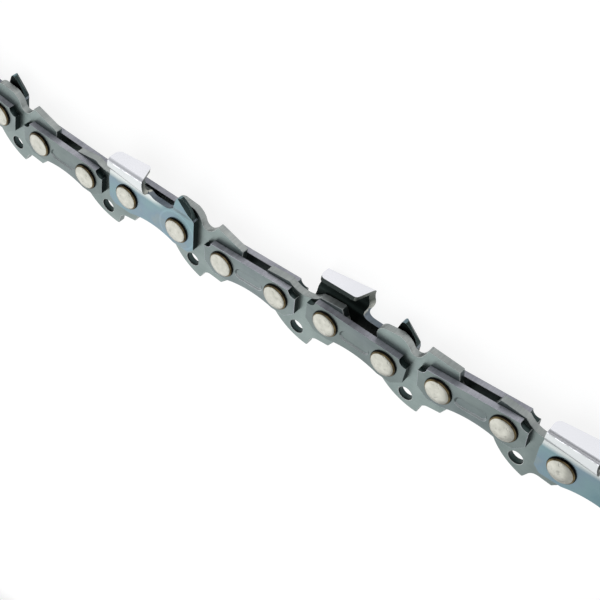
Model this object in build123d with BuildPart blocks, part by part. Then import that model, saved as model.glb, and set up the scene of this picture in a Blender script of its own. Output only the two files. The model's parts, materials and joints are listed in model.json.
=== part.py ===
from build123d import *
import math
import os

# Chain loop for a chainsaw, low profile 3/8 inch pitch, 1.1 mm gauge, lying on its side.
# Millimetres, +Z up. The loop lies in the XY plane, travel is clockwise seen from +Z,
# and the origin is on the ground under the middle of the loop.

# Chain
link_count = 72
pair_length = 18.64
drive_spacing = 8.74
drive_thickness = 1.10
strap_thickness = 0.95
side_play = 0.03

# Rivets
hub_radius = 1.95
hub_play = 0.05
neck_radius = 1.45
head_radius = 2.11
head_height = 0.60

# Tie straps, heights from the line through the rivets, reaches from the nearer rivet
strap_top = 2.63
strap_bottom = 2.80
strap_waist = 2.10
lobe_reach = 0.65
clip_start = 1.60
clip_height = 1.30
strap_end = 3.32
end_height = -0.10
ear_reach = 3.42
ear_height = 1.65
bite_reach = 2.44
bite_height = 1.86
shoulder_reach = 2.10
pocket_length = 5.0
pocket_width = 1.8
pocket_depth = 0.18
pocket_draft = 50.0

# Drive links, reaches from the nearer rivet
nose_radius = 3.0
nose_end_angle = 28.0
nose_corner_reach = 2.55
nose_corner_height = 1.58
foot_reach = -0.30
tang_depth = 7.45
tang_root = 5.30
tang_tip = 0.25
tang_hook = 0.78
hook_start = 2.10
hook_drop = 0.90
tip_round = 0.25
belly_x = -2.90
belly_depth = 6.30
heel_reach = 1.00
heel_depth = 4.10
oil_hole_x = -1.55
oil_hole_depth = 4.90
oil_hole_radius = 1.12

# Shoulders of the plain drive links
shoulder_height = 3.20
front_shoulder = 2.15
rear_shoulder = 2.05
saddle_rear = -2.50
saddle_middle = 0.15
saddle_front = 2.80
saddle_height = 2.05

# Bumper of the drive links ahead of the cutters
bumper_rear = 1.70
bumper_corner = 0.45
hump_height = 5.32
hump_front = -2.35
notch_rear = -0.62
notch_middle = 0.15
notch_front = 0.98
notch_height = 3.05
peak_rear = 2.10
peak_height = 5.08
peak_slope = 1.15
peak_front = 2.60
hump_fall = 0.54
hump_rear_bow = 0.35
hump_front_bow = 0.93
notch_rear_rise = 0.50
notch_front_rise = 0.35
peak_bow = 0.70
peak_bow_rise = 1.20

# Cutters, heights from the line through the rivets
cutter_bottom = 3.00
cutter_waist = 2.20
cutter_front = 3.20
cutter_rear = 3.58
base_clip = 1.00
heel_height = 2.20
heel_slope = 0.75
heel_corner = 0.15
heel_edge = 0.60
gullet_height = 3.05
gullet_front = 2.90
plate_height = 7.00
plate_drop = 0.85
plate_thickness = 0.85
plate_past_outer_face = 1.85
plate_taper = 0.25
corner_radius = 0.75
plate_corner = 0.90
edge_corner = 0.60
side_flare = 1.40
flare_rise = 0.15
flare_taper = 0.68
flare_margin = 0.50

# Cutting edge and depth gauge
tip_x = -0.45
hook_depth = 0.16
hook_height = 5.40
file_angle = 20.0
filed_foot = 4.10
foot_reach_in = 0.40
filed_length = 1.75
filed_bow = 0.90
filed_bow_rise = 0.30
gauge_height = 6.62
gauge_length = 2.55
gauge_nose = 0.60
gauge_foot = 3.95
gauge_flare = 0.30
gauge_bevel = 0.53
gauge_bevel_drop = 0.20
gauge_chin = 0.15
gauge_chin_drop = 0.30
gauge_brow = 1.05
gauge_brow_rise = 1.50
gauge_back_reach = 0.66
gauge_back_drop = 0.48
gauge_heel_reach = 0.55
gauge_heel_rise = 0.25
gullet_bow = 0.80
gullet_bow_rise = 0.40
stock_margin = 1.00

# Directions of the links of the straight run, then the turn at each corner pivot, in degrees
run_directions = [-7.0, -7.6, -3.7, 8.0, -1.8, -6.6, 2.0, 5.7, -2.5, 8.8, 4.0, -5.7, 0.0]
near_turn = 34.0
near_pivots = 3
far_turn = 42.5

# Tie straps, counted in each half, that are stiff with the drive links beside them
stiff_straps = [22, 26, 30]

side_spacing = pair_length - drive_spacing
drive_half = drive_spacing / 2
side_half = side_spacing / 2
strap_inner = drive_thickness / 2 + side_play
strap_outer = strap_inner + strap_thickness
flare_start = gullet_height + flare_rise
flare_end = plate_height - plate_drop - corner_radius - flare_margin
stock_top = plate_height + stock_margin
half_count = link_count // 2

# Tie strap on the upper side
with BuildPart() as upper_strap:
    with BuildSketch(Plane.XY.offset(strap_inner)):
        with BuildLine():
            lobe = (side_half - lobe_reach, -strap_bottom)
            ear = (side_half + ear_reach, ear_height)
            shoulder = (side_half + shoulder_reach, strap_top)
            TangentArc((0, -strap_waist), lobe, tangent=(1, 0))
            Polyline(
                lobe,
                (side_half + clip_start, -strap_bottom),
                (side_half + strap_end, -clip_height),
                (side_half + strap_end, end_height),
                ear,
            )
            ThreePointArc(ear, (side_half + bite_reach, bite_height), shoulder)
            Line(shoulder, (0, strap_top))
            mirror(about=Plane.YZ)
        make_face()
        with Locations((-side_half, 0), (side_half, 0)):
            Circle(neck_radius, mode=Mode.SUBTRACT)
    extrude(amount=strap_thickness)
    with BuildSketch(Plane.XY.offset(strap_outer)):
        SlotOverall(pocket_length, pocket_width)
    extrude(amount=-pocket_depth, taper=pocket_draft, mode=Mode.SUBTRACT)

with BuildPart() as lower_strap:
    mirror(upper_strap.part, about=Plane.XY)


# Outline of a drive link below its shoulders, from the front shoulder round to the rear one
def drive_underside(front_start, rear_end):
    nose_end = math.radians(nose_end_angle)
    nose_low = (drive_half + nose_radius * math.cos(nose_end), -nose_radius * math.sin(nose_end))
    nose_top = (drive_half + nose_corner_reach, nose_corner_height)
    tail_low = (-nose_low[0], nose_low[1])
    tail_top = (-nose_top[0], nose_top[1])
    root = (hook_start, -tang_root)
    hook = (tang_hook, -tang_root - hook_drop)
    tip = (tang_tip, -tang_depth)
    heel = (-drive_half - heel_reach, -heel_depth)
    Line(front_start, nose_top)
    ThreePointArc(nose_top, (drive_half + nose_radius, 0), nose_low)
    Polyline(nose_low, (drive_half + foot_reach, -tang_root), root)
    TangentArc(root, hook, tangent=(-1, 0))
    Line(hook, tip)
    ThreePointArc(tip, (belly_x, -belly_depth), heel)
    Line(heel, tail_low)
    ThreePointArc(tail_low, (-drive_half - nose_radius, 0), tail_top)
    Line(tail_top, rear_end)


# Drive link with flat shoulders
def plain_outline():
    front_end = (drive_half + front_shoulder, shoulder_height)
    rear_end = (-drive_half - rear_shoulder, shoulder_height)
    saddle_start = (saddle_rear, shoulder_height)
    saddle_end = (saddle_front, shoulder_height)
    with BuildLine() as outline:
        drive_underside(front_end, rear_end)
        Line(rear_end, saddle_start)
        ThreePointArc(saddle_start, (saddle_middle, saddle_height), saddle_end)
        Line(saddle_end, front_end)
    return outline.line


# Drive link with a bumper ahead of the depth gauge
def bumper_outline():
    front_end = (drive_half + peak_front, peak_height - peak_slope)
    rear_end = (-drive_half - bumper_rear, shoulder_height)
    hump_start = (-drive_half - bumper_corner, hump_height)
    hump_end = (hump_front, hump_height)
    notch_start = (notch_rear, notch_height + notch_rear_rise)
    notch_end = (notch_front, notch_height + notch_front_rise)
    hump_side = hump_height - hump_fall
    peak = (peak_rear, peak_height)
    with BuildLine() as outline:
        drive_underside(front_end, rear_end)
        ThreePointArc(rear_end, (-drive_half - bumper_rear + hump_rear_bow, hump_side), hump_start)
        Line(hump_start, hump_end)
        ThreePointArc(hump_end, (hump_front + hump_front_bow, hump_side), notch_start)
        ThreePointArc(notch_start, (notch_middle, notch_height), notch_end)
        ThreePointArc(notch_end, (notch_front + peak_bow, notch_height + peak_bow_rise), peak)
        Line(peak, front_end)
    return outline.line


# Plate of a drive link with its rivet holes and oil hole
def drive_plate(outline, rear_play, front_play):
    with BuildPart() as plate:
        with BuildSketch(Plane.XY.offset(-drive_thickness / 2)):
            make_face(outline.edges())
            with Locations((-drive_half, 0)):
                Circle(hub_radius + rear_play, mode=Mode.SUBTRACT)
            with Locations((drive_half, 0)):
                Circle(hub_radius + front_play, mode=Mode.SUBTRACT)
            with Locations((oil_hole_x, -oil_hole_depth)):
                Circle(oil_hole_radius, mode=Mode.SUBTRACT)
        extrude(amount=drive_thickness)
        fillet(plate.edges().sort_by_distance((tang_tip, -tang_depth, 0))[0], tip_round)
    return plate.part


# Drive links, and those that sit tight on the rivets of a stiff tie strap
plain_drive = drive_plate(plain_outline(), hub_play, hub_play)
bumper_drive = drive_plate(bumper_outline(), hub_play, hub_play)
stiff_bumper_drive = drive_plate(bumper_outline(), hub_play, 0)
stiff_plain_drive = drive_plate(plain_outline(), 0, hub_play)

# Rivet with a hub between the straps, necks in the straps and a head on each face
with BuildPart() as rivet:
    Cylinder(hub_radius, 2 * strap_inner)
    Cylinder(neck_radius, 2 * strap_outer)
    with Locations((0, 0, strap_outer + head_height / 2), (0, 0, -strap_outer - head_height / 2)):
        Cylinder(head_radius, head_height)


# Section of the formed cutter sheet, across the chain, with the top plate turned over the drive links
def cutter_section(flare, top, edge):
    outer = strap_outer + flare
    inner = strap_inner + flare
    under = top - plate_thickness
    with BuildLine() as outline:
        Line((-cutter_bottom, strap_outer), (flare_start, strap_outer))
        Spline((flare_start, strap_outer), (flare_end, outer), tangents=[(1, 0), (1, 0)])
        Line((flare_end, outer), (top - corner_radius, outer))
        RadiusArc((top - corner_radius, outer), (top, outer - corner_radius), corner_radius)
        Polyline((top, outer - corner_radius), (top, edge), (under, edge), (under, inner), (flare_end, inner))
        Spline((flare_end, inner), (flare_start, strap_inner), tangents=[(-1, 0), (-1, 0)])
        Polyline(
            (flare_start, strap_inner),
            (-cutter_bottom, strap_inner),
            (-cutter_bottom, strap_outer),
        )
    return outline.line


# Section of the sheet through the depth gauge
def gauge_section():
    outer = strap_outer + gauge_flare
    inner = strap_inner + gauge_flare
    with BuildLine() as outline:
        Line((-cutter_bottom, strap_outer), (flare_start, strap_outer))
        Spline((flare_start, strap_outer), (flare_end, outer), tangents=[(1, 0), (1, 0)])
        Polyline((flare_end, outer), (plate_height, outer), (plate_height, inner), (flare_end, inner))
        Spline((flare_end, inner), (flare_start, strap_inner), tangents=[(-1, 0), (-1, 0)])
        Polyline(
            (flare_start, strap_inner),
            (-cutter_bottom, strap_inner),
            (-cutter_bottom, strap_outer),
        )
    return outline.line


# Side view of the blank: base, gullet and depth gauge
def cutter_outline():
    front = side_half + cutter_front
    rear = -side_half - cutter_rear
    lobe = side_half - lobe_reach
    gauge_end = (front - gauge_chin, gauge_foot)
    gauge_tip = (front - gauge_length, gauge_height)
    gauge_back = (gauge_tip[0] - gauge_back_reach, gauge_height - gauge_back_drop)
    gauge_heel = (gauge_back[0] - gauge_heel_reach, gauge_foot + gauge_heel_rise)
    floor_front = (gullet_front, gullet_height)
    with BuildLine() as outline:
        ThreePointArc((-lobe, -cutter_bottom), (0, -cutter_waist), (lobe, -cutter_bottom))
        Polyline(
            (lobe, -cutter_bottom),
            (front - base_clip, -cutter_bottom),
            (front, -cutter_bottom + base_clip),
            (front, gauge_foot - gauge_chin_drop),
            gauge_end,
        )
        ThreePointArc(gauge_end, (front - gauge_brow, gauge_foot + gauge_brow_rise), gauge_tip)
        RadiusArc(gauge_tip, gauge_back, -gauge_nose)
        Line(gauge_back, gauge_heel)
        ThreePointArc(gauge_heel, (gullet_front + gullet_bow, gullet_height + gullet_bow_rise), floor_front)
        Polyline(
            floor_front,
            (blank_front, gullet_height),
            (blank_front, stock_top),
            (rear + heel_slope, stock_top),
            (rear + heel_corner, heel_height),
            (rear, heel_height - heel_edge),
            (rear, -cutter_bottom + base_clip),
            (rear + base_clip, -cutter_bottom),
            (-lobe, -cutter_bottom),
        )
    return outline.line


# Region in front of the cutting edge, as filed away on the outer face
def filed_outline():
    tip = (tip_x, plate_height)
    foot = (tip_x + foot_reach_in, filed_foot)
    floor_rear = (tip_x + filed_length, gullet_height)
    with BuildLine() as outline:
        Line((tip_x, stock_top), tip)
        ThreePointArc(tip, (tip_x - hook_depth, hook_height), foot)
        ThreePointArc(foot, (tip_x + filed_bow, gullet_height + filed_bow_rise), floor_rear)
        Polyline(
            floor_rear,
            (gullet_front, gullet_height),
            (gullet_front, stock_top),
            (tip_x, stock_top),
        )
    return outline.line


# Stock that the file takes off, its run, and the face ground on the depth gauge
blank_front = 1.40
file_run = 10.0
file_stroke = Vector(-math.tan(math.radians(file_angle)), 0, -1)
gauge_face = Plane(
    origin=(side_half + gauge_bevel, gauge_height - gauge_bevel_drop, strap_outer + gauge_flare),
    z_dir=(0.70, 0.71, 0.80),
)

# Sections of the cutter sheet at its rear end and at the front end of the stock
plate_edge = strap_outer - plate_past_outer_face
rear_section = cutter_section(side_flare - flare_taper, plate_height - plate_drop, plate_edge + plate_taper)
growth = (blank_front - tip_x) / (tip_x + side_half + cutter_rear)
front_section = cutter_section(
    side_flare + flare_taper * growth,
    plate_height + plate_drop * growth,
    plate_edge - plate_taper * growth,
)

# Corners of the top plate on the side of the drive links, at half its thickness
plate_reach = strap_outer + side_flare - plate_edge
rear_corner = (
    -side_half - cutter_rear + heel_slope,
    plate_height - plate_drop - plate_thickness / 2,
    plate_edge + plate_taper,
)
front_corner = (
    tip_x - plate_reach * math.tan(math.radians(file_angle)),
    plate_height - plate_thickness / 2,
    plate_edge,
)

# Right-hand cutter, on the upper side
with BuildPart() as right_cutter:
    with BuildSketch(Plane.YZ.offset(-side_half - cutter_rear)):
        make_face(rear_section.edges())
    with BuildSketch(Plane.YZ.offset(blank_front)):
        make_face(front_section.edges())
    loft(ruled=True)
    with BuildSketch(Plane.YZ.offset(blank_front)):
        make_face(gauge_section().edges())
    extrude(amount=side_half + cutter_front - blank_front)
    with BuildSketch(Plane.XY):
        make_face(cutter_outline().edges())
    extrude(amount=file_run, both=True, mode=Mode.INTERSECT)
    with BuildSketch(Plane.XY.offset(strap_outer + side_flare)):
        make_face(filed_outline().edges())
    extrude(amount=file_run, dir=file_stroke, both=True, mode=Mode.SUBTRACT)
    split(bisect_by=gauge_face, keep=Keep.BOTTOM)
    with Locations((-side_half, 0), (side_half, 0)):
        Cylinder(neck_radius, file_run, mode=Mode.SUBTRACT)
    fillet(right_cutter.edges().sort_by_distance(rear_corner)[0], plate_corner)
    fillet(right_cutter.edges().sort_by_distance(front_corner)[0], edge_corner)

with BuildPart() as left_cutter:
    mirror(right_cutter.part, about=Plane.XY)

# The loop rests on the flared sides of its left-hand cutters
chain_height = -left_cutter.part.bounding_box().min.Z


# Turn at a pivot of the chain, the one at the rear rivet of the link
def pivot_turn(index):
    step = index % half_count
    run = len(run_directions)
    if step == 0 or step == half_count - 1:
        return far_turn
    if step < run:
        return run_directions[step - 1] - run_directions[step]
    if step < run + near_pivots:
        return near_turn
    return 0.0


# Places of the links, walked along the chain and then centred
directions = [run_directions[0]]
for index in range(1, link_count):
    directions.append(directions[-1] - pivot_turn(index))

rivets = [Vector(0, 0)]
for index in range(link_count):
    spacing = drive_spacing if index % 2 else side_spacing
    step = Vector(spacing, 0).rotate(Axis.Z, directions[index])
    rivets.append(rivets[-1] + step)

centre = (rivets[0] + rivets[half_count]) / 2
places = []
for index in range(link_count):
    middle = (rivets[index] + rivets[index + 1]) / 2 - centre
    places.append(Location((middle.X, middle.Y, chain_height), (0, 0, directions[index])))


# Solids of one side link: two plates and the two rivets that hold them
def side_link(index):
    upper = right_cutter if index % 8 == 4 else upper_strap
    lower = left_cutter if index % 8 == 0 else lower_strap
    rear_rivet = rivet.part.moved(Location((-side_half, 0, 0)))
    front_rivet = rivet.part.moved(Location((side_half, 0, 0)))
    solids = [upper.part, lower.part, rear_rivet, front_rivet]
    return [places[index] * solid for solid in solids]


# Kinds of link, in their order along the chain
kinds = [
    "left_cutter_link",
    "bumper_drive_link",
    "tie_strap_link",
    "drive_link",
    "right_cutter_link",
    "bumper_drive_link",
    "tie_strap_link",
    "drive_link",
]
counts = {}


# Name of the next link of its kind, numbered along the chain
def next_name(kind):
    counts[kind] = counts.get(kind, 0) + 1
    return f"{kind}_{counts[kind]:02d}"


os.makedirs("parts", exist_ok=True)
for index in range(link_count):
    kind = kinds[index % len(kinds)]
    step = index % half_count
    if step in stiff_straps:
        name = next_name("tie_strap_group")
        solids = [places[index - 1] * stiff_bumper_drive]
        solids += side_link(index)
        solids += [places[index + 1] * stiff_plain_drive]
        export_step(Compound(label=name, children=solids), f"parts/{name}.step")
    elif step - 1 in stiff_straps or step + 1 in stiff_straps:
        continue
    elif index % 2:
        name = next_name(kind)
        with BuildPart() as drive_link:
            with Locations(places[index]):
                add(plain_drive if kind == "drive_link" else bumper_drive)
        drive_link.part.label = name
        export_step(drive_link.part, f"parts/{name}.step")
    else:
        name = next_name(kind)
        export_step(Compound(label=name, children=side_link(index)), f"parts/{name}.step")
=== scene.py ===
import json
import math

import bmesh
import bpy
from mathutils import Matrix, Vector

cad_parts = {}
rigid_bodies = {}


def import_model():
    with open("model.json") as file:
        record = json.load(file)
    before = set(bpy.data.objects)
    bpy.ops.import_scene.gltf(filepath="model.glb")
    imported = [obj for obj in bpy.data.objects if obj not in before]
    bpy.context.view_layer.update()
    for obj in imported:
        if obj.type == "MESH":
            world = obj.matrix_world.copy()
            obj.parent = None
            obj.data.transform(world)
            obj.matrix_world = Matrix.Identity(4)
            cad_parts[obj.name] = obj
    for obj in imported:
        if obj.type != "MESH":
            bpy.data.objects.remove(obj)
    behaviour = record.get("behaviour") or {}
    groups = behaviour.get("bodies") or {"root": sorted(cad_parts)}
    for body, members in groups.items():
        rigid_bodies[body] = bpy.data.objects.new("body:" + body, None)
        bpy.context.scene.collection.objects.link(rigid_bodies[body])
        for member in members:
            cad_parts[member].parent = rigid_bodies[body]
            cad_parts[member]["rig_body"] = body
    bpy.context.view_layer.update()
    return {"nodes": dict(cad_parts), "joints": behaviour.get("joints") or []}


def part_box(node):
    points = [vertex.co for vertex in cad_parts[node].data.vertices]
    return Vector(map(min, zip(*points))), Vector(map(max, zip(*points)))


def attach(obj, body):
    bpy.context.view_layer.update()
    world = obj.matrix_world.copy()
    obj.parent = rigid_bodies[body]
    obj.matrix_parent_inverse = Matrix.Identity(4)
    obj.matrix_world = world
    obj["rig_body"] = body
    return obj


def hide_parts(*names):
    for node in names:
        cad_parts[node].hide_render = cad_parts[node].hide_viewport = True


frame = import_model()

# Sizes in metres. Local frame of a link: x along travel, y outward, z up from the chain's middle.
mm = 0.001
tolerance = 0.002 * mm
rivet_zone = 2.2 * mm
edge_round = 0.07 * mm
edge_segments = 2
edge_profile = 0.5
sharp_angle = math.radians(24)
flat_angle = math.radians(0.4)

# How far a face turns toward an axis to count as facing it
upright_facing = 0.5
slope_facing = 0.3
edge_facing = 0.25
pocket_facing = 0.1
gauge_facing = 0.85

# Rivet in mm: radius and height, from the middle of the head outward, then down to the hub
rivet_profile = [
    (0.00, 2.088),
    (0.16, 2.098),
    (0.34, 2.122),
    (0.50, 2.130),
    (0.80, 2.120),
    (1.20, 2.085),
    (1.50, 2.040),
    (1.68, 2.000),
    (1.82, 1.950),
    (1.93, 1.885),
    (2.02, 1.800),
    (2.08, 1.700),
    (2.11, 1.600),
    (2.11, 1.530),
    (1.45, 1.530),
    (1.45, 0.580),
    (1.95, 0.580),
]
rivet_face_height = 1.955 * mm
rivet_shoulder_height = 1.82 * mm
rivet_segments = 56

# Cutter: lower edge of its plating, the front end of the plated sheet, and its top plate
plating_low = 2.10 * mm
plating_foot = 2.90 * mm
plating_full = 3.60 * mm
plating_rear = 0.40 * mm
plating_front = 2.40 * mm
top_plate_height = 5.2 * mm
filed_height = 2.9 * mm
# Heights on the filed face where its painted shade begins and where it is darkest
filed_shade_start = 3.9 * mm
filed_shade_full = 5.0 * mm
gullet_top = 4.05 * mm
gullet_rear = -0.5 * mm
cutter_depth = 1.6 * mm
coined_radius = 3.25 * mm
coined_width = 0.22 * mm
front_rivet = 4.95 * mm

# Tie strap: where its end walls begin, and the room round its pocket
strap_shoulder = 7.0 * mm
pocket_zone_length = 3.4 * mm
pocket_zone_width = 1.9 * mm

# Drive link: lower end of its sheared upper edges, and its oil hole
sheared_height = -3.0 * mm
oil_hole = Vector((-1.55, -4.90)) * mm
oil_hole_zone = 1.30 * mm

# Scale of the marks on each surface, how they are drawn out, and how deep they are
cloud_scale = 260.0
film_scale = 120.0
grain_scale = 900.0
grain_stretch = (0.25, 3.0, 3.0)
pit_scale = 2600.0
shear_scale = 1600.0
shear_stretch = (2.5, 2.5, 0.15)
tarnish_scale = 300.0
plating_scale = 140.0
ripple_scale = 400.0
file_scale = 1400.0
file_stretch = (3.0, 3.0, 0.2)
satin_scale = 1100.0
dent_scale = 1900.0
blue_scale = 150.0
waver_scale = 700.0
waver_height = 0.08 * mm
cutter_pit_scale = 1800.0
cutter_pit_height = 0.2
fine_depth = 0.02 * mm
stroke_depth = 0.03 * mm
dent_depth = 0.04 * mm

# Share of each layer in a surface's colour
film_share = 0.35
streak_share = 0.35
shear_share = 0.6
coin_share = 0.5

# Light of the room, and its dim part overhead
room_tint = (0.97, 0.985, 1.0, 1.0)
room_level = 0.78
room_overhead = 0.28
room_dim_side = Vector((-0.05, 0.55, 0.83))
room_dim_start = 0.55
room_dim_end = 0.88

# Floor: half its width, its tone, and how bright it shows
floor_half = 12.0
floor_tone = 0.16
floor_roughness = 0.9
floor_glow = 0.87

# Camera of the photograph, placed from the rivet between the drive link and the left-hand cutter
photo_focal = 1243.2
photo_shift = 2.5
photo_size = 600.0
sensor = 36.0
nearest_view = 5 * mm
camera_right = Vector((0.7765, 0.0614, -0.6271))
camera_up = Vector((-0.4934, 0.6782, -0.5446))
camera_back = Vector((0.3918, 0.7323, 0.5569))
camera_offset = Vector((61.56, 125.38, 93.88)) * mm
camera_rivet_parent = "drive_link_02"
camera_rivet_child = "left_cutter_link_02"

# Sockets of a colour mix
mix_first = 6
mix_second = 7
mix_result = 2


# Colour of an sRGB triple, as the shaders take it
def colour(red, green, blue):
    linear = []
    for value in (red, green, blue):
        share = value / 255
        linear.append(share / 12.92 if share <= 0.04045 else ((share + 0.055) / 1.055) ** 2.4)
    return (*linear, 1.0)


def grey(value):
    return colour(value, value, value)


# Material with its node tree, its principled shader and the coordinates of the link
class Surface:
    def __init__(self, name, metallic=1.0):
        self.material = bpy.data.materials.new(name)
        self.material.use_nodes = True
        self.tree = self.material.node_tree
        self.shader = self.tree.nodes["Principled BSDF"]
        self.shader.inputs["Metallic"].default_value = metallic
        self.place = self.node("ShaderNodeTexCoord").outputs["Object"]
        shift = self.node("ShaderNodeVectorMath", operation="ADD")
        self.link(self.place, shift.inputs[0])
        self.piece = self.node("ShaderNodeObjectInfo").outputs["Random"]
        self.link(self.piece, shift.inputs[1])
        self.varied = shift.outputs["Vector"]

    def node(self, kind, **settings):
        made = self.tree.nodes.new(kind)
        for key, value in settings.items():
            setattr(made, key, value)
        return made

    def link(self, source, target):
        self.tree.links.new(source, target)

    def stretched(self, scale):
        mapping = self.node("ShaderNodeMapping")
        mapping.inputs["Scale"].default_value = scale
        self.link(self.varied, mapping.inputs["Vector"])
        return mapping.outputs["Vector"]

    def noise(self, scale, detail, vector=None):
        texture = self.node("ShaderNodeTexNoise")
        texture.inputs["Scale"].default_value = scale
        texture.inputs["Detail"].default_value = detail
        self.link(vector or self.varied, texture.inputs["Vector"])
        return texture.outputs["Fac"]

    def ramp(self, source, stops):
        ramp = self.node("ShaderNodeValToRGB")
        elements = ramp.color_ramp.elements
        while len(elements) < len(stops):
            elements.new(0.5)
        for element, (position, tint) in zip(elements, stops):
            element.position = position
            element.color = tint
        self.link(source, ramp.inputs["Fac"])
        return ramp.outputs["Color"]

    def span(self, source, low, high, start=0.0, end=1.0):
        spread = self.node("ShaderNodeMapRange")
        spread.inputs["From Min"].default_value = start
        spread.inputs["From Max"].default_value = end
        spread.inputs["To Min"].default_value = low
        spread.inputs["To Max"].default_value = high
        self.link(source, spread.inputs["Value"])
        return spread.outputs["Result"]

    def mix(self, factor, first, second, blend="MIX"):
        mixed = self.node("ShaderNodeMix", data_type="RGBA", blend_type=blend)
        if isinstance(factor, float):
            mixed.inputs["Factor"].default_value = factor
        else:
            self.link(factor, mixed.inputs["Factor"])
        self.link(first, mixed.inputs[mix_first])
        self.link(second, mixed.inputs[mix_second])
        return mixed.outputs[mix_result]

    def flat_tone(self, tint):
        made = self.node("ShaderNodeRGB")
        made.outputs["Color"].default_value = tint
        return made.outputs["Color"]

    def math(self, operation, first, second):
        made = self.node("ShaderNodeMath", operation=operation)
        self.link(first, made.inputs[0])
        self.link(second, made.inputs[1])
        return made.outputs["Value"]

    def paint(self, tone):
        self.link(tone, self.shader.inputs["Base Color"])

    def roughen(self, source, low, high):
        self.link(self.span(source, low, high), self.shader.inputs["Roughness"])

    def bump(self, source, strength, depth):
        bump = self.node("ShaderNodeBump")
        bump.inputs["Strength"].default_value = strength
        bump.inputs["Distance"].default_value = depth
        self.link(source, bump.inputs["Height"])
        self.link(bump.outputs["Normal"], self.shader.inputs["Normal"])


# Rolled sheet with an oxide film: cloudy tints, grain along the link, fine pits
def oxide_sheet(name, dark, light, tint, rough, metallic=1.0):
    surface = Surface(name, metallic)
    clouds = surface.noise(cloud_scale, detail=4.0)
    grain = surface.noise(grain_scale, detail=5.0, vector=surface.stretched(grain_stretch))
    base = surface.ramp(clouds, [(0.30, dark), (0.70, light)])
    film = surface.ramp(surface.noise(film_scale, detail=2.0), [(0.45, light), (0.75, tint)])
    toned = surface.mix(film_share, base, film)
    streak = surface.ramp(grain, [(0.30, grey(185)), (0.75, grey(240))])
    streaked = surface.mix(streak_share, toned, streak, "MULTIPLY")
    batch = surface.ramp(surface.piece, [(0.0, grey(226)), (1.0, grey(255))])
    surface.paint(surface.mix(1.0, streaked, batch, "MULTIPLY"))
    surface.roughen(grain, low=rough - 0.07, high=rough + 0.10)
    surface.bump(surface.noise(pit_scale, detail=4.0), strength=0.25, depth=fine_depth)
    return surface.material


# Sheared edge of a sheet: pale, with the shear's marks across its thickness
def sheared(name, dark, light, rough, metallic):
    surface = Surface(name, metallic)
    marks = surface.noise(shear_scale, detail=3.0, vector=surface.stretched(shear_stretch))
    clouds = surface.noise(tarnish_scale, detail=3.0)
    base = surface.ramp(clouds, [(0.30, dark), (0.70, light)])
    shade = surface.ramp(marks, [(0.30, colour(205, 205, 208)), (0.70, grey(250))])
    surface.paint(surface.mix(shear_share, base, shade, "MULTIPLY"))
    surface.roughen(marks, low=rough - 0.08, high=rough + 0.10)
    surface.bump(marks, strength=0.30, depth=stroke_depth)
    return surface.material


strap_steel = oxide_sheet(
    "strap_steel",
    dark=colour(97, 109, 108),
    light=colour(126, 137, 135),
    tint=colour(115, 121, 130),
    rough=0.34,
)
drive_steel = oxide_sheet(
    "drive_steel",
    dark=colour(109, 123, 121),
    light=colour(140, 152, 149),
    tint=colour(130, 140, 140),
    rough=0.38,
)
# Near-black copy of the oxide sheet: painted shade for a cutter's faces that look inward, and the
# down-facing faces under its top plate
inside_painted_shade = oxide_sheet(
    "inside_painted_shade",
    dark=colour(26, 33, 32),
    light=colour(48, 58, 55),
    tint=colour(38, 46, 46),
    rough=0.45,
)
# Dark copy of the oxide sheet: painted shade for the end walls of tie straps, the walls of oil holes and
# the front faces of a cutter that look into the chain
rim_painted_shade = oxide_sheet(
    "rim_painted_shade",
    dark=colour(38, 50, 49),
    light=colour(70, 84, 83),
    tint=colour(56, 66, 73),
    rough=0.36,
)
# Pale copy of the oxide sheet: painted highlight on the lower wall of a tie strap's pocket, the wall
# that faces outward; the upper wall keeps the strap's colour
pocket_painted_highlight = oxide_sheet(
    "pocket_painted_highlight",
    dark=colour(158, 167, 168),
    light=colour(190, 197, 198),
    tint=colour(178, 184, 190),
    rough=0.45,
    metallic=0.5,
)
edge_steel = sheared(
    "edge_steel",
    dark=colour(166, 168, 178),
    light=colour(202, 203, 211),
    rough=0.42,
    metallic=0.55,
)
drive_edge = sheared(
    "drive_edge",
    dark=colour(166, 173, 171),
    light=colour(204, 209, 206),
    rough=0.42,
    metallic=0.55,
)
# Darker copy of the sheared edge: painted shade for the wall of a cutter's gullet
gullet_painted_shade = sheared(
    "gullet_painted_shade",
    dark=colour(96, 106, 116),
    light=colour(138, 148, 156),
    rough=0.38,
    metallic=0.8,
)


# Plating: almost white and smooth
def plated(name):
    surface = Surface(name)
    clouds = surface.noise(plating_scale, detail=2.0)
    surface.paint(surface.ramp(clouds, [(0.25, colour(232, 233, 238)), (0.80, colour(239, 239, 244))]))
    surface.roughen(clouds, low=0.20, high=0.28)
    surface.bump(surface.noise(ripple_scale, detail=2.0), strength=0.04, depth=fine_depth)
    return surface.material


# Filed face: pale, with the strokes of the file across it, and painted shade darkening it toward the top
# plate
def filed(name):
    surface = Surface(name, metallic=0.7)
    strokes = surface.noise(file_scale, detail=3.0, vector=surface.stretched(file_stretch))
    tone = surface.ramp(strokes, [(0.3, colour(186, 187, 178)), (0.7, colour(228, 228, 219))])
    axes = surface.node("ShaderNodeSeparateXYZ")
    surface.link(surface.place, axes.inputs["Vector"])
    # Painted shade: the face turns darker from its foot up toward the top plate that overhangs it
    painted_shade_share = surface.span(axes.outputs["Y"], 0.0, 1.0, filed_shade_start, filed_shade_full)
    unshaded_tone = surface.flat_tone(grey(255))
    painted_shade_tone = surface.flat_tone(colour(120, 126, 124))
    painted_shade = surface.mix(painted_shade_share, unshaded_tone, painted_shade_tone)
    surface.paint(surface.mix(1.0, tone, painted_shade, "MULTIPLY"))
    surface.roughen(strokes, low=0.26, high=0.44)
    surface.bump(strokes, strength=0.35, depth=stroke_depth)
    return surface.material


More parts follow.
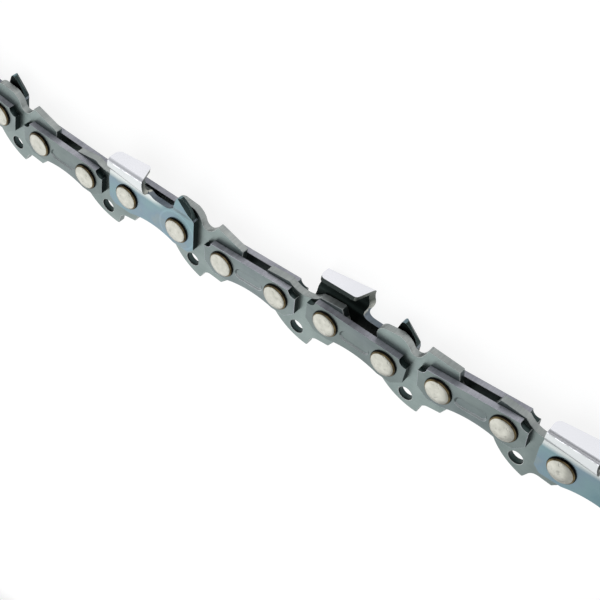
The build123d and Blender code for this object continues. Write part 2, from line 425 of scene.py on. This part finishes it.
# Rivet head: satin with small dents
def satin(name, dark, light, rough):
    surface = Surface(name)
    clouds = surface.noise(satin_scale, detail=4.0)
    surface.paint(surface.ramp(clouds, [(0.30, dark), (0.72, light)]))
    surface.roughen(clouds, low=rough - 0.05, high=rough + 0.10)
    dents = surface.ramp(surface.noise(dent_scale, detail=1.0), [(0.28, grey(0)), (0.36, grey(255))])
    surface.bump(dents, strength=0.5, depth=dent_depth)
    return surface.material


# Outer face of a cutter: blued base, plated from the foot of the side plate upward
def cutter_face(name):
    surface = Surface(name)
    clouds = surface.noise(blue_scale, detail=3.0)
    grain = surface.noise(grain_scale, detail=5.0, vector=surface.stretched(grain_stretch))
    blued = surface.ramp(
        clouds,
        [
            (0.30, colour(108, 139, 147)),
            (0.46, colour(122, 149, 154)),
            (0.60, colour(120, 141, 153)),
            (0.75, colour(138, 149, 145)),
        ],
    )
    plating = surface.ramp(grain, [(0.25, colour(178, 181, 182)), (0.80, colour(187, 190, 190))])
    axes = surface.node("ShaderNodeSeparateXYZ")
    surface.link(surface.place, axes.inputs["Vector"])
    waver = surface.span(surface.noise(waver_scale, detail=2.0), -waver_height, waver_height)
    height = surface.math("ADD", axes.outputs["Y"], waver)
    above = surface.span(height, 0.0, 1.0, plating_low, plating_foot)
    behind = surface.span(axes.outputs["X"], 1.0, 0.0, plating_rear, plating_front)
    covered = surface.math("MULTIPLY", above, behind)
    higher = surface.span(height, 0.0, 1.0, plating_foot, plating_full)
    whole = surface.math("MULTIPLY", higher, behind)
    flat = surface.node("ShaderNodeCombineXYZ")
    surface.link(axes.outputs["X"], flat.inputs["X"])
    surface.link(axes.outputs["Y"], flat.inputs["Y"])
    ring = surface.node("ShaderNodeVectorMath", operation="DISTANCE")
    ring.inputs[1].default_value = (front_rivet, 0, 0)
    surface.link(flat.outputs["Vector"], ring.inputs[0])
    inner = surface.span(ring.outputs["Value"], 0.0, 1.0, coined_radius - coined_width, coined_radius)
    outer = surface.span(ring.outputs["Value"], 1.0, 0.0, coined_radius, coined_radius + coined_width)
    coined = surface.math("MULTIPLY", inner, outer)
    pale = surface.ramp(coined, [(0.0, grey(128)), (1.0, grey(160))])
    base = surface.mix(coin_share, blued, pale, "OVERLAY")
    faded = surface.mix(covered, base, surface.flat_tone(colour(176, 181, 179)))
    surface.paint(surface.mix(whole, faded, plating))
    surface.roughen(grain, low=0.26, high=0.38)
    pits = surface.span(surface.noise(cutter_pit_scale, detail=4.0), 0.0, cutter_pit_height)
    surface.bump(surface.math("ADD", pits, coined), strength=0.20, depth=stroke_depth)
    return surface.material


chrome = plated("chrome")
cutter_outer = cutter_face("cutter_outer")
filed_steel = filed("filed_steel")
rivet_face = satin("rivet_face", dark=colour(154, 154, 145), light=colour(180, 179, 170), rough=0.28)
# Painted shade: the rounded rim of the head is painted dark gold-brown, as painted shade and a painted
# gold reflection, and the wall below it near-black, as a painted shadow in the gap under the head
rivet_rim_painted_shade = satin("rivet_rim_painted_shade", dark=colour(58, 51, 38), light=colour(128, 113, 80), rough=0.28)
rivet_wall_painted_shade = satin("rivet_wall_painted_shade", dark=colour(12, 12, 11), light=colour(36, 33, 28), rough=0.34)

# Heights shared by all links, read from the nodes
head_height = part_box("tie_strap_link_01")[1].z
drive_low, drive_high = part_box("drive_link_01")
chain_height = (drive_low.z + drive_high.z) / 2


# Axes of the rivets in a node, from the flat ends of their heads
def rivet_axes(node):
    data = frame["nodes"][node].data
    discs = []
    for face in data.polygons:
        points = [data.vertices[index].co for index in face.vertices]
        if any(abs(point.z - head_height) > tolerance for point in points):
            continue
        for disc in discs:
            if (disc[0] - points[0]).length < 2 * rivet_zone:
                disc.extend(points)
                break
        else:
            discs.append(points)
    axes = []
    for disc in discs:
        xs = [point.x for point in disc]
        ys = [point.y for point in disc]
        axes.append(Vector(((min(xs) + max(xs)) / 2, (min(ys) + max(ys)) / 2, chain_height)))
    return axes


node_axes = {node: rivet_axes(node) for node in frame["nodes"]}
all_axes = [axis for axes in node_axes.values() for axis in axes]


# Place of a link: its middle, with x along travel and y away from the inside of the loop
def link_place(node):
    axes = node_axes[node]
    if len(axes) != 2:
        low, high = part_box(node)
        middle = (low + high) / 2
        axes = sorted(all_axes, key=lambda axis: (axis - middle).length)[:2]
    middle = (axes[0] + axes[1]) / 2
    along = (axes[1] - axes[0]).normalized()
    outward = Vector((-along.y, along.x, 0))
    if outward.dot(middle) < 0:
        outward = -outward
    travel = Vector((outward.y, -outward.x, 0))
    place = Matrix((travel, outward, Vector((0, 0, 1)))).transposed().to_4x4()
    place.translation = middle
    return place


# True where a face belongs to a rivet: near its axis, and not the wall of the hole round it
def on_rivet(face, axes):
    for axis in axes:
        offsets = [(vertex.co - axis).xy for vertex in face.verts]
        if max(offset.length for offset in offsets) < rivet_zone:
            centre = (face.calc_center_median() - axis).xy
            upright = abs(face.normal.z) > upright_facing
            return upright or centre.dot(face.normal.xy) > 0
    return False


# Turned rivet, added at an axis of the link's own frame
def add_rivet(mesh, axis):
    rings = [(radius * mm, height * mm) for radius, height in rivet_profile]
    rings += [(radius, -height) for radius, height in reversed(rings)]
    loops = []
    for radius, height in rings:
        if radius == 0:
            loops.append([mesh.verts.new(axis + Vector((0, 0, height)))] * rivet_segments)
            continue
        loop = []
        for step in range(rivet_segments):
            turn = 2 * math.pi * step / rivet_segments
            offset = Vector((radius * math.cos(turn), radius * math.sin(turn), height))
            loop.append(mesh.verts.new(axis + offset))
        loops.append(loop)
    for upper, lower in zip(loops, loops[1:]):
        for step in range(rivet_segments):
            after = (step + 1) % rivet_segments
            corners = [upper[step], lower[step], lower[after], upper[after]]
            face = mesh.faces.new(list(dict.fromkeys(corners)))
            height = abs(face.calc_center_median().z)
            if height > rivet_face_height:
                face.material_index = slots["rivet_face"]
            # The rim and the wall below the face get the painted shade
            elif height > rivet_shoulder_height:
                face.material_index = slots["rivet_rim_painted_shade"]
            else:
                face.material_index = slots["rivet_wall_painted_shade"]
            face.smooth = True


# Material of a cutter's face, from where it lies and which way it looks; side is +1 for the upper side
def cutter_slot(face, side):
    middle = face.calc_center_median()
    normal = face.normal
    outside = normal.z * side
    on_plate = middle.x < plating_front and middle.y > top_plate_height
    # Gullet wall: darker painted shade
    if normal.y > slope_facing and middle.x > gullet_rear and filed_height < middle.y < gullet_top:
        return slots["gullet_painted_shade"]
    if normal.x > slope_facing and middle.y > filed_height and middle.x < plating_front:
        return slots["filed_steel"]
    if on_plate and normal.y > slope_facing:
        return slots["chrome"]
    # Inward and down-facing faces get the near-black painted shade
    if outside < -slope_facing or (normal.y < -upright_facing and middle.y > filed_height):
        return slots["inside_painted_shade"]
    # Front faces that look into the chain get the dark painted shade
    if normal.x > slope_facing and outside < gauge_facing:
        return slots["rim_painted_shade"]
    return slots["cutter_outer"]


# Material of a drive link's face
def drive_slot(face):
    middle = face.calc_center_median()
    # Oil-hole wall: dark painted shade
    if abs(face.normal.z) < upright_facing and (middle.xy - oil_hole).length < oil_hole_zone:
        return slots["rim_painted_shade"]
    if face.normal.y > edge_facing and middle.y > sheared_height:
        return slots["drive_edge"]
    return slots["drive_steel"]


# True in the room round a tie strap's pocket
def in_pocket(point):
    return abs(point.x) < pocket_zone_length and abs(point.y) < pocket_zone_width


# Material of a tie strap's face
def strap_slot(face):
    middle = face.calc_center_median()
    # End walls of the strap: dark painted shade
    if abs(face.normal.z) < upright_facing and abs(middle.x) > strap_shoulder:
        return slots["rim_painted_shade"]
    if face.normal.y > edge_facing:
        # In the pocket, the outward-facing wall gets the painted highlight
        return slots["pocket_painted_highlight"] if in_pocket(middle) else slots["edge_steel"]
    return slots["strap_steel"]


# Connected plates of a mesh, each as a list of faces
def plates(mesh):
    left = set(mesh.faces)
    found = []
    while left:
        waiting = [left.pop()]
        plate = []
        while waiting:
            face = waiting.pop()
            plate.append(face)
            near = {other for edge in face.edges for other in edge.link_faces if other in left}
            left -= near
            waiting.extend(near)
        found.append(plate)
    return found


materials = [
    strap_steel,
    drive_steel,
    edge_steel,
    drive_edge,
    inside_painted_shade,
    rim_painted_shade,
    gullet_painted_shade,
    pocket_painted_highlight,
    chrome,
    cutter_outer,
    filed_steel,
    rivet_face,
    rivet_rim_painted_shade,
    rivet_wall_painted_shade,
]
slots = {material.name: index for index, material in enumerate(materials)}


# Colours a plate's faces
def paint_plate(plate):
    heights = [vertex.co.z for face in plate for vertex in face.verts]
    middle = (min(heights) + max(heights)) / 2
    is_cutter = max(heights) - min(heights) > cutter_depth
    is_drive = abs(middle) < drive_high.z - chain_height
    for face in plate:
        face.smooth = True
        if is_cutter:
            face.material_index = cutter_slot(face, 1 if middle > 0 else -1)
        elif is_drive:
            face.material_index = drive_slot(face)
        else:
            face.material_index = strap_slot(face)


# Rounds the sharp edges of the plates, with bare metal along most of them
def round_edges(mesh):
    sharp = [edge for edge in mesh.edges if edge.is_manifold and edge.calc_face_angle() > sharp_angle]
    rounded = bmesh.ops.bevel(
        mesh,
        geom=sharp,
        offset=edge_round,
        segments=edge_segments,
        profile=edge_profile,
        affect="EDGES",
        clamp_overlap=True,
        material=-1,
    )
    strap_slots = (slots["strap_steel"], slots["edge_steel"], slots["pocket_painted_highlight"])
    drive_slots = (slots["drive_steel"], slots["drive_edge"])
    drive_half = drive_high.z - chain_height + tolerance
    for face in rounded["faces"]:
        middle = face.calc_center_median()
        face.smooth = True
        # Round the pocket, the bevel on the outward-facing lower wall gets the painted highlight, and
        # the other bevels keep the strap's colour
        if face.material_index in strap_slots and in_pocket(middle):
            lower = face.normal.y > pocket_facing
            face.material_index = slots["pocket_painted_highlight"] if lower else slots["strap_steel"]
        elif face.material_index in strap_slots:
            face.material_index = slots["edge_steel"]
        elif face.material_index in drive_slots or abs(middle.z) < drive_half:
            face.material_index = slots["drive_edge"]
        elif middle.y < plating_low or middle.x > plating_front:
            face.material_index = slots["drive_edge"]
        elif middle.y > top_plate_height:
            face.material_index = slots["chrome"]
        else:
            face.material_index = slots["cutter_outer"]


# Piece that stands for a node: its plates with rounded edges, and turned rivets
def dress(node):
    place = link_place(node)
    inverse = place.inverted()
    axes = node_axes[node]
    mesh = bmesh.new()
    mesh.from_mesh(frame["nodes"][node].data)
    rivet_faces = [face for face in mesh.faces if on_rivet(face, axes)]
    bmesh.ops.delete(mesh, geom=rivet_faces, context="FACES")
    mesh.transform(inverse)
    bmesh.ops.remove_doubles(mesh, verts=mesh.verts, dist=tolerance)
    bmesh.ops.dissolve_limit(mesh, angle_limit=flat_angle, verts=mesh.verts, edges=mesh.edges)
    for plate in plates(mesh):
        paint_plate(plate)
    round_edges(mesh)
    for axis in axes:
        add_rivet(mesh, inverse @ axis)
    data = bpy.data.meshes.new(node + "_dressed")
    mesh.to_mesh(data)
    mesh.free()
    for material in materials:
        data.materials.append(material)
    piece = bpy.data.objects.new(node + "_dressed", data)
    bpy.context.scene.collection.objects.link(piece)
    piece.matrix_world = place
    weighted = piece.modifiers.new("weighted", "WEIGHTED_NORMAL")
    weighted.keep_sharp = True
    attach(piece, frame["nodes"][node]["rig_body"])
    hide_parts(node)


for node in sorted(frame["nodes"]):
    dress(node)

# Floor, pale and plain
floor_mesh = bpy.data.meshes.new("floor")
floor_signs = [(-1, -1), (1, -1), (1, 1), (-1, 1)]
floor_corners = [(x * floor_half, y * floor_half, 0) for x, y in floor_signs]
floor_mesh.from_pydata(floor_corners, [], [(0, 1, 2, 3)])
floor = bpy.data.objects.new("floor", floor_mesh)
bpy.context.scene.collection.objects.link(floor)
floor_surface = Surface("floor_white", metallic=0.0)
floor_surface.shader.inputs["Base Color"].default_value = (floor_tone, floor_tone, floor_tone, 1)
floor_surface.shader.inputs["Roughness"].default_value = floor_roughness
floor_surface.shader.inputs["Emission Color"].default_value = (1, 1, 1, 1)
rays = floor_surface.node("ShaderNodeLightPath")
seen = floor_surface.math("MAXIMUM", rays.outputs["Is Camera Ray"], rays.outputs["Is Glossy Ray"])
shown = floor_surface.math("MAXIMUM", seen, rays.outputs["Is Transmission Ray"])
glow = floor_surface.span(shown, 0.0, floor_glow)
floor_surface.link(glow, floor_surface.shader.inputs["Emission Strength"])
floor_mesh.materials.append(floor_surface.material)


# Soft lamp that looks at the middle of the run
def lamp(name, direction, distance, size, power):
    data = bpy.data.lights.new(name, "AREA")
    data.shape = "DISK"
    data.size = size
    data.energy = power
    light = bpy.data.objects.new(name, data)
    bpy.context.scene.collection.objects.link(light)
    toward = Vector(direction).normalized()
    light.location = target + toward * distance
    light.rotation_euler = toward.to_track_quat("Z", "Y").to_euler()


camera_links = {camera_rivet_parent, camera_rivet_child}
pivot = next(joint for joint in frame["joints"] if {joint["parent"], joint["child"]} == camera_links)
target = Vector((pivot["pos_m"][0], pivot["pos_m"][1], head_height))
lamp("key", direction=(-0.50, -0.60, 0.62), distance=0.9, size=1.0, power=2.5)
lamp("top", direction=(0.1, 0.5, 1.0), distance=1.0, size=0.9, power=1.5)

# Room: soft all round, and dimmer on one side overhead
world = bpy.data.worlds.new("studio")
world.use_nodes = True
room = world.node_tree
background = room.nodes["Background"]
background.inputs["Color"].default_value = room_tint
overhead = room.nodes.new("ShaderNodeVectorMath")
overhead.operation = "DOT_PRODUCT"
overhead.inputs[1].default_value = room_dim_side
room.links.new(room.nodes.new("ShaderNodeTexCoord").outputs["Generated"], overhead.inputs[0])
fall = room.nodes.new("ShaderNodeMapRange")
fall.interpolation_type = "SMOOTHSTEP"
fall.inputs["From Min"].default_value = room_dim_start
fall.inputs["From Max"].default_value = room_dim_end
fall.inputs["To Min"].default_value = room_level
fall.inputs["To Max"].default_value = room_overhead
room.links.new(overhead.outputs["Value"], fall.inputs["Value"])
room.links.new(fall.outputs["Result"], background.inputs["Strength"])
bpy.context.scene.world = world

camera_data = bpy.data.cameras.new("photo")
camera_data.sensor_width = sensor
camera_data.lens = sensor * photo_focal / photo_size
camera_data.shift_x = photo_shift / photo_size
camera_data.clip_start = nearest_view
camera = bpy.data.objects.new("photo", camera_data)
bpy.context.scene.collection.objects.link(camera)
turn = Matrix((camera_right, camera_up, camera_back)).transposed().to_4x4()
turn.translation = target + camera_offset
camera.matrix_world = turn
bpy.context.scene.camera = camera
bpy.context.scene.view_settings.view_transform = "Standard"
